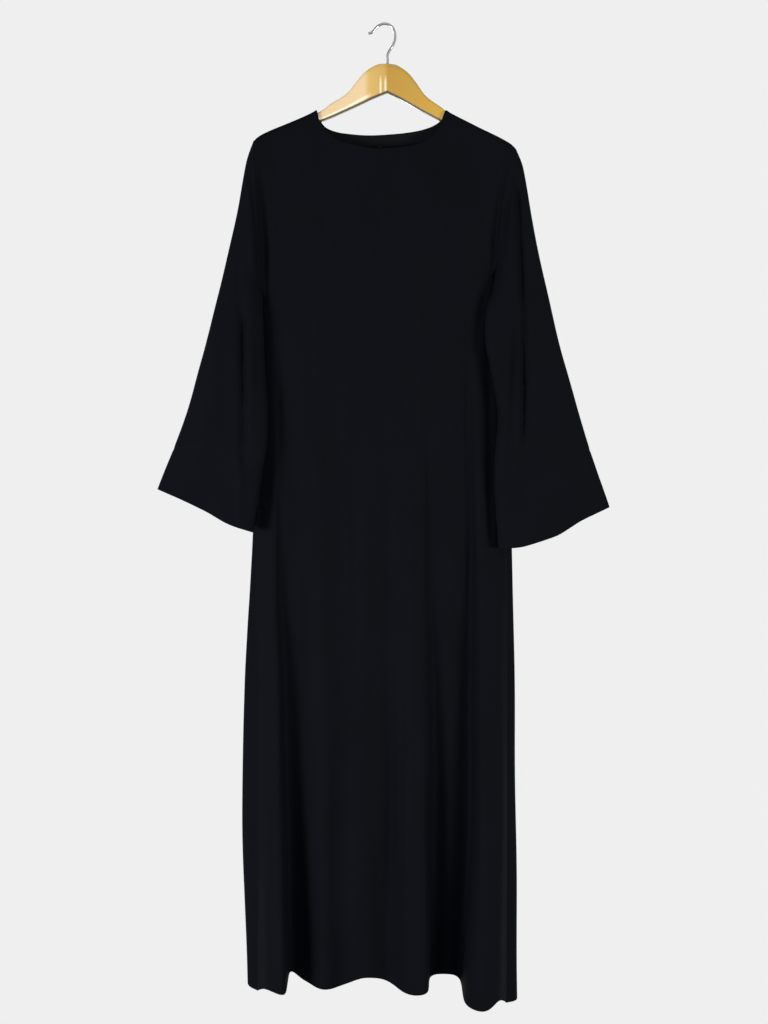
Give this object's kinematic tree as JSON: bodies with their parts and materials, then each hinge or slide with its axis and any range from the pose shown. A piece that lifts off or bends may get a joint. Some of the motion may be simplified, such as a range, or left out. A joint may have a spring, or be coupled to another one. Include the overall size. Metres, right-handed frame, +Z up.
{
  "type": "abaya cloak on a coat hanger",
  "caption": "Long, loose, wide-sleeved closed cloak that hangs by its shoulders from a curved wooden hanger with a wire hook, hem and cuffs open.",
  "frame": {"origin": "the hanging point, at the inside top of the hook, where a rail or a wall peg carries it", "axes": "+Z up, -Y out of the front of the garment, +X to the viewer's right as the front is seen"},
  "size_m": [0.7067, 0.11, 1.545],
  "materials": {
    "black_crepe": "matt black crepe with a faint soft sheen",
    "black_facing": "matt black plain weave, a shade lighter",
    "varnished_wood": "golden wood under clear gloss varnish",
    "chrome": "polished chrome-plated wire"
  },
  "bodies": {
    "root": {"front_panel": "black_crepe", "back_panel": "black_crepe", "sleeve_left": "black_crepe", "sleeve_right": "black_crepe", "cuff_left": "black_crepe", "cuff_right": "black_crepe", "neck_facing": "black_facing", "hanger_wood": "varnished_wood", "hook": "chrome"}
  },
  "joints": []
}
